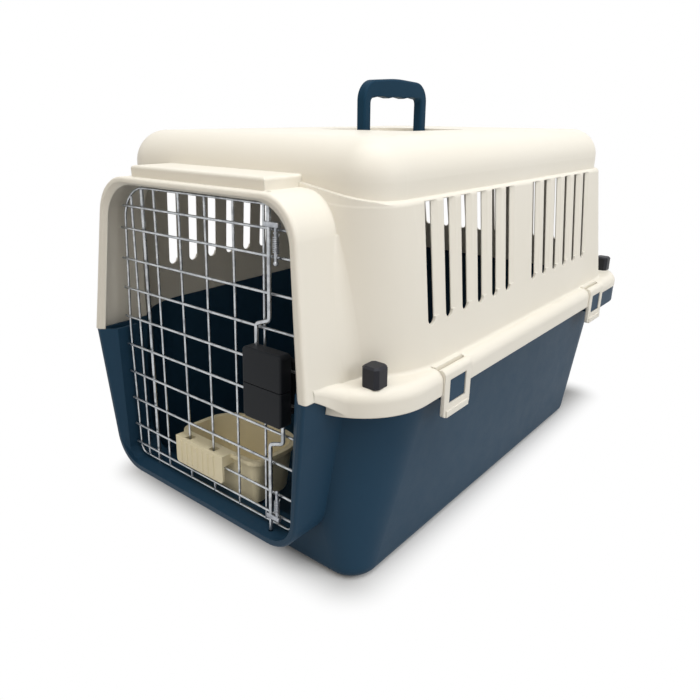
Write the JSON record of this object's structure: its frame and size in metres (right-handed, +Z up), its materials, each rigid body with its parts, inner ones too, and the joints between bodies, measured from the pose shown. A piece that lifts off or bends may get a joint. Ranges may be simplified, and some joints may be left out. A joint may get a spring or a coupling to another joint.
{
  "type": "pet carrier",
  "caption": "Moulded plastic pet carrier with split shells, vent slots, hinged wire door with sprung squeeze latch, side clips, corner knobs, folding carry handle and hanging food bowl.",
  "frame": {"origin": "centre of the carrier's footprint box at floor level", "axes": "+Z up, +Y from the door to the rear, +X to the right of someone who looks in at the door"},
  "size_m": [0.445, 0.691, 0.4785],
  "materials": {
    "cream_plastic": "fine satin moulded polypropylene",
    "navy_plastic": "satin moulded polypropylene",
    "black_plastic": "satin moulded plastic",
    "tan_plastic": "satin moulded plastic",
    "zinc_wire": "bright zinc plating on drawn wire",
    "zinc_steel": "bright zinc plating"
  },
  "bodies": {
    "shell": {"lower_shell": "navy_plastic", "upper_shell": "cream_plastic", "corner_bolts": "zinc_steel", "clip_pins": "zinc_steel"},
    "handle": {"carry_handle": "navy_plastic"},
    "door": {"door_frame": "zinc_wire", "door_upright_wires": "zinc_wire", "door_cross_wires": "zinc_wire", "hinge_rod": "zinc_wire", "latch_guide_block": "black_plastic", "latch_back_plate": "black_plastic", "latch_screws": "zinc_steel", "upper_latch_spring": "zinc_steel", "lower_latch_spring": "zinc_steel"},
    "upper_latch": {"upper_latch_grip": "black_plastic", "upper_latch_rod": "zinc_wire", "upper_rod_yoke": "zinc_steel"},
    "lower_latch": {"lower_latch_grip": "black_plastic", "lower_latch_rod": "zinc_wire", "lower_rod_yoke": "zinc_steel"},
    "bowl": {"food_bowl": "tan_plastic"},
    "front_left_clip": {"front_left_clip": "cream_plastic"},
    "front_right_clip": {"front_right_clip": "cream_plastic"},
    "rear_left_clip": {"rear_left_clip": "cream_plastic"},
    "rear_right_clip": {"rear_right_clip": "cream_plastic"},
    "front_left_knob": {"front_left_knob": "black_plastic"},
    "front_right_knob": {"front_right_knob": "black_plastic"},
    "rear_left_knob": {"rear_left_knob": "black_plastic"},
    "rear_right_knob": {"rear_right_knob": "black_plastic"}
  },
  "joints": [
    {"name": "handle_fold", "type": "hinge", "parent": "shell", "child": "handle", "pos_m": [0, 0, 0.412], "axis": [0, 1, 0], "range_deg": [-90, 90]},
    {"name": "door_swing", "type": "hinge", "parent": "shell", "child": "door", "pos_m": [-0.096, -0.3243, 0.05267], "axis": [0, -0.0436, -0.999], "range_deg": [0, 105]},
    {"name": "upper_latch_slide", "type": "slide", "parent": "door", "child": "upper_latch", "axis": [0, 0.0436, 0.999], "range_m": [0, 0.0048], "stiffness_N_per_m": 300, "springref_m": 0.012, "deforming": ["upper_latch_spring"]},
    {"name": "lower_latch_slide", "type": "slide", "parent": "door", "child": "lower_latch", "axis": [0, -0.0436, -0.999], "range_m": [0, 0.0048], "stiffness_N_per_m": 300, "springref_m": 0.012, "deforming": ["lower_latch_spring"]},
    {"name": "bowl_lift", "type": "slide", "parent": "door", "child": "bowl", "axis": [0, 0.0436, 0.999], "range_m": [0, 0.012]},
    {"name": "front_left_clip_swing", "type": "hinge", "parent": "shell", "child": "front_left_clip", "pos_m": [-0.2155, -0.189, 0.2065], "axis": [0, 1, 0], "range_deg": [0, 100]},
    {"name": "front_right_clip_swing", "type": "hinge", "parent": "shell", "child": "front_right_clip", "pos_m": [0.2155, -0.189, 0.2065], "axis": [0, -1, 0], "range_deg": [0, 100]},
    {"name": "rear_left_clip_swing", "type": "hinge", "parent": "shell", "child": "rear_left_clip", "pos_m": [-0.2155, 0.1975, 0.2065], "axis": [0, 1, 0], "range_deg": [0, 100]},
    {"name": "rear_right_clip_swing", "type": "hinge", "parent": "shell", "child": "rear_right_clip", "pos_m": [0.2155, 0.1975, 0.2065], "axis": [0, -1, 0], "range_deg": [0, 100]},
    {"name": "front_left_knob_turn", "type": "hinge", "parent": "shell", "child": "front_left_knob", "pos_m": [-0.188, -0.2815, 0.212], "axis": [0, 0, 1], "continuous": true},
    {"name": "front_right_knob_turn", "type": "hinge", "parent": "shell", "child": "front_right_knob", "pos_m": [0.188, -0.2815, 0.212], "axis": [0, 0, 1], "continuous": true},
    {"name": "rear_left_knob_turn", "type": "hinge", "parent": "shell", "child": "rear_left_knob", "pos_m": [-0.188, 0.3095, 0.212], "axis": [0, 0, 1], "continuous": true},
    {"name": "rear_right_knob_turn", "type": "hinge", "parent": "shell", "child": "rear_right_knob", "pos_m": [0.188, 0.3095, 0.212], "axis": [0, 0, 1], "continuous": true}
  ],
  "couplings": [
    {"joint": "lower_latch_slide", "follows": "upper_latch_slide", "ratio": 1}
  ]
}
